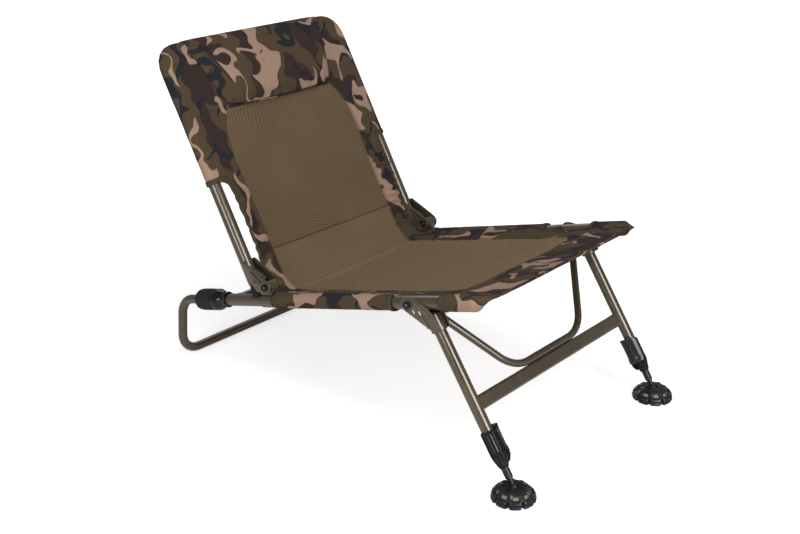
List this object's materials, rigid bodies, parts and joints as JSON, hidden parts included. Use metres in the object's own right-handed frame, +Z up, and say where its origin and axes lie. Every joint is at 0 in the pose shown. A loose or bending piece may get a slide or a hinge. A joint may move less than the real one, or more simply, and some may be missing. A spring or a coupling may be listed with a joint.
{
  "type": "carp fishing chair",
  "caption": "Low folding fishing chair with a reclined fabric sling, padded headrest, telescopic front legs on mud feet and a sliding rear support loop.",
  "frame": {"origin": "on the ground at the middle of the chair's footprint box", "axes": "+Z up, -Y the way the sitter faces, +X the sitter's left"},
  "size_m": [0.57, 0.9265, 0.6724],
  "materials": {
    "frame_paint": "satin olive-brown paint",
    "bush_paint": "satin dark olive paint",
    "bolt_steel": "blackened steel",
    "leg_steel": "satin dark olive paint",
    "black_plastic": "moulded satin black",
    "bumper_rubber": "matt black",
    "camouflage_cloth": "woven polyester, printed woodland camouflage",
    "mesh_cloth": "khaki stretch mesh with camouflage borders"
  },
  "bodies": {
    "seat_frame": {"rear_crossbar": "frame_paint", "seat_cover": "camouflage_cloth", "seat_tube_left": "frame_paint", "seat_saddle_left": "frame_paint", "hinge_bush_left": "bush_paint", "hinge_bolt_left": "bolt_steel", "leg_bolt_left": "bolt_steel", "collar_ferrule_left": "black_plastic", "seat_tube_right": "frame_paint", "seat_saddle_right": "frame_paint", "hinge_bush_right": "bush_paint", "hinge_bolt_right": "bolt_steel", "leg_bolt_right": "bolt_steel", "collar_ferrule_right": "black_plastic"},
    "back_frame": {"back_frame_tube": "frame_paint", "back_cover": "mesh_cloth", "head_pad": "camouflage_cloth", "back_plate_outer_left": "frame_paint", "back_plate_inner_left": "frame_paint", "stop_bumper_left": "bumper_rubber", "back_plate_outer_right": "frame_paint", "back_plate_inner_right": "frame_paint", "stop_bumper_right": "bumper_rubber"},
    "leg_frame": {"leg_crossbar": "frame_paint", "leg_brace": "frame_paint", "leg_bracket_left": "frame_paint", "leg_plug_left": "black_plastic", "leg_tube_left": "frame_paint", "clamp_body_left": "black_plastic", "lever_pin_left": "bolt_steel", "leg_bracket_right": "frame_paint", "leg_plug_right": "black_plastic", "leg_tube_right": "frame_paint", "clamp_body_right": "black_plastic", "lever_pin_right": "bolt_steel"},
    "rear_support": {"rear_support_loop": "frame_paint"},
    "collar_left": {"collar_grip_left": "black_plastic"},
    "inner_leg_left": {"inner_leg_left": "leg_steel"},
    "lever_left": {"cam_lever_left": "black_plastic"},
    "foot_left": {"mud_foot_left": "black_plastic"},
    "collar_right": {"collar_grip_right": "black_plastic"},
    "inner_leg_right": {"inner_leg_right": "leg_steel"},
    "lever_right": {"cam_lever_right": "black_plastic"},
    "foot_right": {"mud_foot_right": "black_plastic"}
  },
  "joints": [
    {"name": "back_fold", "type": "hinge", "parent": "seat_frame", "child": "back_frame", "pos_m": [0, 0.16171, 0.24124], "axis": [1, 0, 0], "range_deg": [0, 100]},
    {"name": "leg_fold", "type": "hinge", "parent": "seat_frame", "child": "leg_frame", "pos_m": [0, -0.19432, 0.30538], "axis": [1, 0, 0], "range_deg": [0, 100]},
    {"name": "rear_support_slide", "type": "slide", "parent": "seat_frame", "child": "rear_support", "axis": [0, 0.9659, -0.2588], "range_m": [0, 0.12]},
    {"name": "collar_twist_left", "type": "hinge", "parent": "seat_frame", "child": "collar_left", "pos_m": [0.245, 0.34515, 0.16083], "axis": [0, 0.9659, -0.2588], "range_deg": [0, 90]},
    {"name": "inner_leg_slide_left", "type": "slide", "parent": "leg_frame", "child": "inner_leg_left", "axis": [0, -0.5606, -0.8281], "range_m": [0, 0.1]},
    {"name": "cam_lever_left", "type": "hinge", "parent": "leg_frame", "child": "lever_left", "pos_m": [0.2284, -0.38957, 0.07407], "axis": [0, -0.8281, 0.5606], "range_deg": [0, 90]},
    {"name": "foot_tilt_left", "type": "hinge", "parent": "inner_leg_left", "child": "foot_left", "pos_m": [0.245, -0.42429, 0.0228], "axis": [1, 0, 0], "range_deg": [-12, 12]},
    {"name": "collar_twist_right", "type": "hinge", "parent": "seat_frame", "child": "collar_right", "pos_m": [-0.245, 0.34515, 0.16083], "axis": [0, 0.9659, -0.2588], "range_deg": [0, 90]},
    {"name": "inner_leg_slide_right", "type": "slide", "parent": "leg_frame", "child": "inner_leg_right", "axis": [0, -0.5606, -0.8281], "range_m": [0, 0.1]},
    {"name": "cam_lever_right", "type": "hinge", "parent": "leg_frame", "child": "lever_right", "pos_m": [-0.2284, -0.38957, 0.07407], "axis": [0, 0.8281, -0.5606], "range_deg": [0, 90]},
    {"name": "foot_tilt_right", "type": "hinge", "parent": "inner_leg_right", "child": "foot_right", "pos_m": [-0.245, -0.42429, 0.0228], "axis": [1, 0, 0], "range_deg": [-12, 12]}
  ]
}
